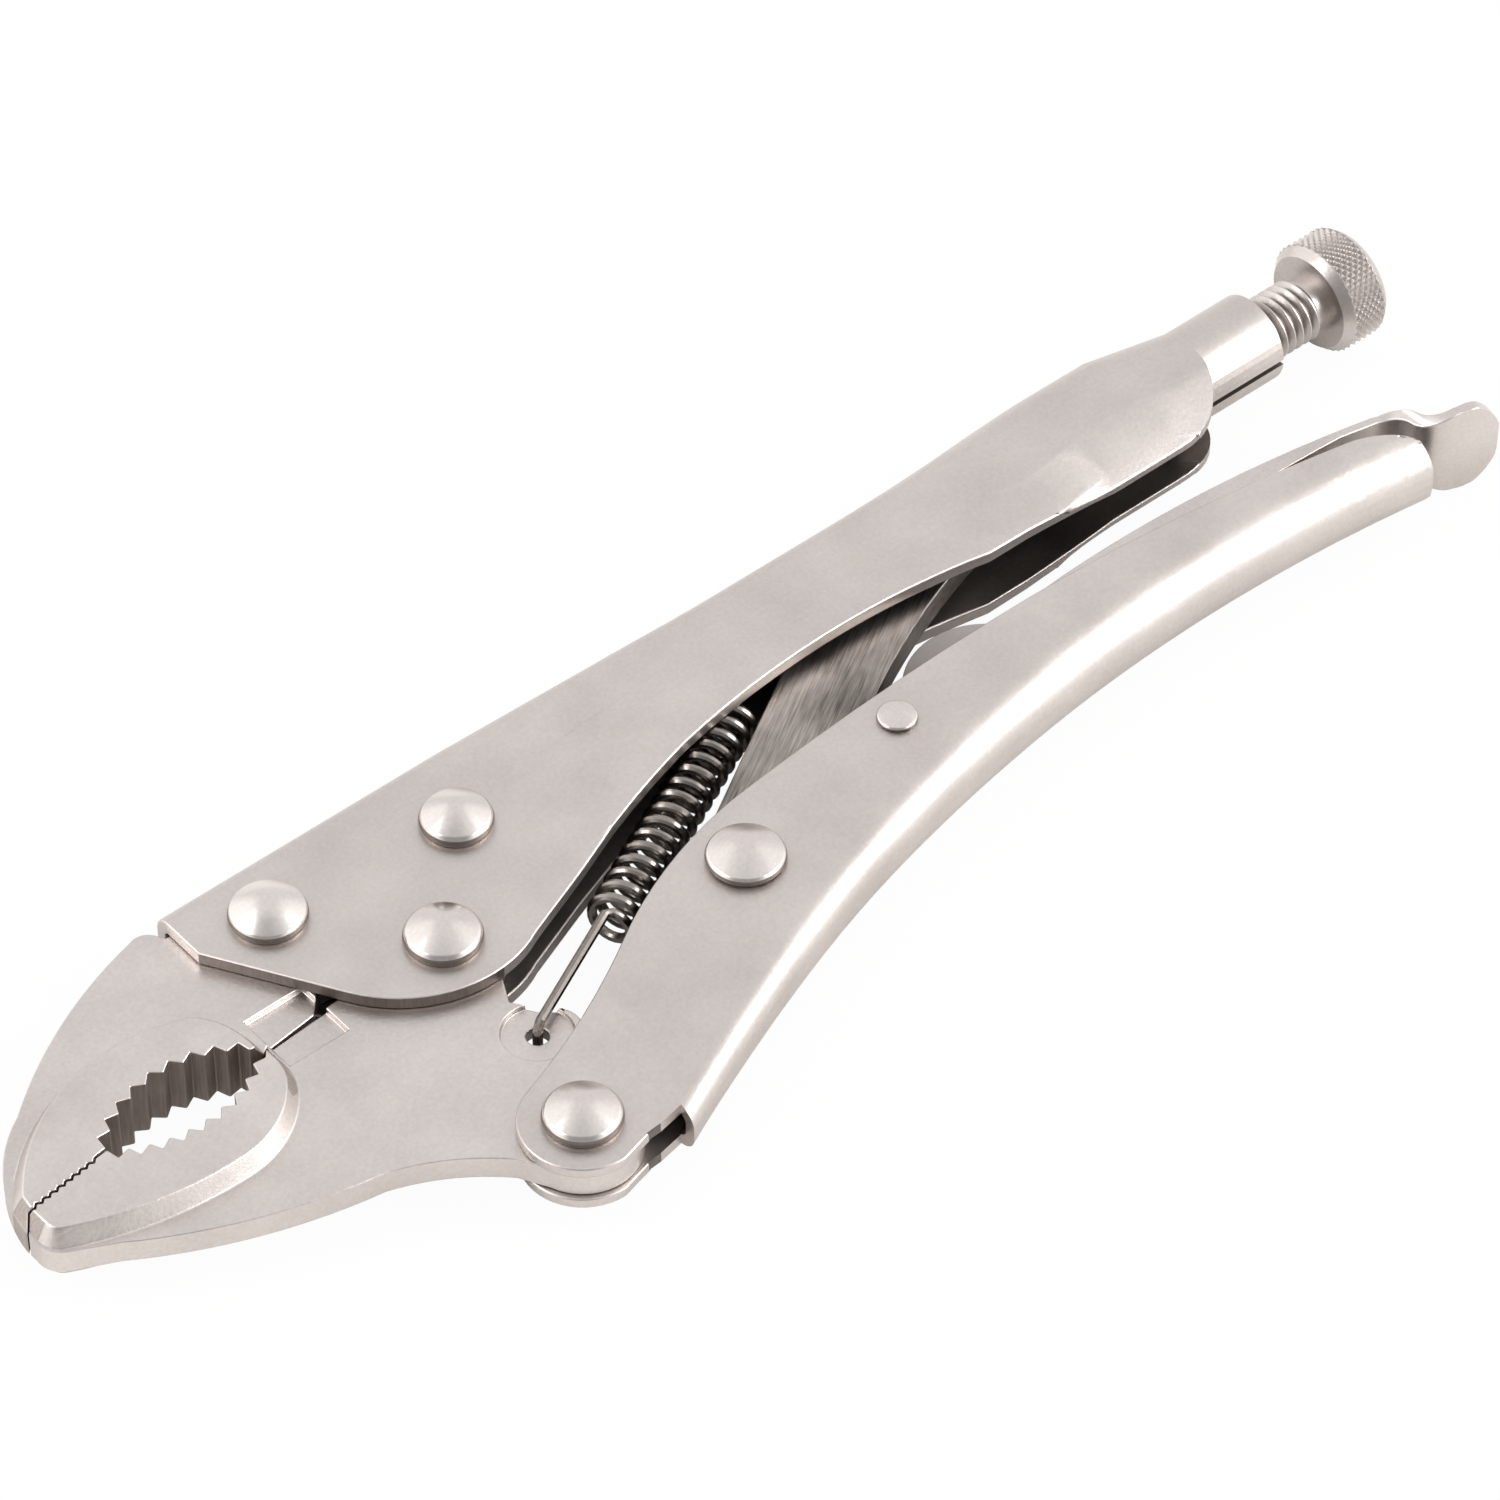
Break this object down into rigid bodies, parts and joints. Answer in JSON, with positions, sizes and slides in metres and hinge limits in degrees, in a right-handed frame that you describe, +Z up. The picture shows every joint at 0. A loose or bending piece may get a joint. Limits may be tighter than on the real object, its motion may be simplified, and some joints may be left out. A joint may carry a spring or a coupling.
{
  "type": "locking pliers",
  "caption": "Locking pliers with toothed curved jaws, a toggle link, a release lever and a knurled adjusting screw.",
  "frame": {"origin": "centre of the bounding box at its bottom, with the tool lying on its side", "axes": "+X from the nose of the jaws to the adjusting knob, +Y from the lever handle to the spine of the fixed handle, +Z up through the thickness"},
  "size_m": [0.2472, 0.071, 0.0169],
  "materials": {
    "plated_steel": "satin plated sheet steel",
    "plated_forging": "satin plated forged steel",
    "link_steel": "dark brushed steel",
    "spring_steel": "blackened spring wire",
    "screw_steel": "zinc plated steel",
    "rivet_steel": "satin plated steel"
  },
  "bodies": {
    "fixed_body": {"fixed_handle": "plated_steel", "upper_jaw": "plated_forging", "front_jaw_rivet": "rivet_steel", "rear_jaw_rivet": "rivet_steel", "jaw_pivot_rivet": "rivet_steel", "return_spring": "spring_steel"},
    "lower_jaw_body": {"lower_jaw": "plated_forging"},
    "lever_body": {"lever_handle": "plated_steel", "lever_pivot_rivet": "rivet_steel", "link_rivet": "rivet_steel", "release_lever_rivet": "rivet_steel"},
    "link_body": {"toggle_link": "link_steel"},
    "release_body": {"release_lever": "plated_steel"},
    "screw_body": {"adjusting_screw": "screw_steel"}
  },
  "joints": [
    {"name": "jaw_pivot", "type": "hinge", "parent": "fixed_body", "child": "lower_jaw_body", "pos_m": [-0.0546, 0.00805, 0.00845], "axis": [0, 0, 1], "range_deg": [0, 18.5], "deforming": ["return_spring"]},
    {"name": "lever_pivot", "type": "hinge", "parent": "lower_jaw_body", "child": "lever_body", "pos_m": [-0.06, -0.02675, 0.00845], "axis": [0, 0, 1], "range_deg": [-50, 0]},
    {"name": "link_pivot", "type": "hinge", "parent": "lever_body", "child": "link_body", "pos_m": [-0.0162, -0.00675, 0.00845], "axis": [0, 0, 1], "range_deg": [0, 52.5]},
    {"name": "release_pivot", "type": "hinge", "parent": "lever_body", "child": "release_body", "pos_m": [0.0148, -0.00105, 0.00845], "axis": [0, 0, 1], "range_deg": [-4, 0]},
    {"name": "screw_advance", "type": "slide", "parent": "fixed_body", "child": "screw_body", "axis": [1, 0, 0], "range_m": [0, 0.016]}
  ],
  "couplings": [
    {"joint": "jaw_pivot", "follows": "lever_pivot", "ratio": -0.37},
    {"joint": "link_pivot", "follows": "lever_pivot", "ratio": -1.05}
  ]
}
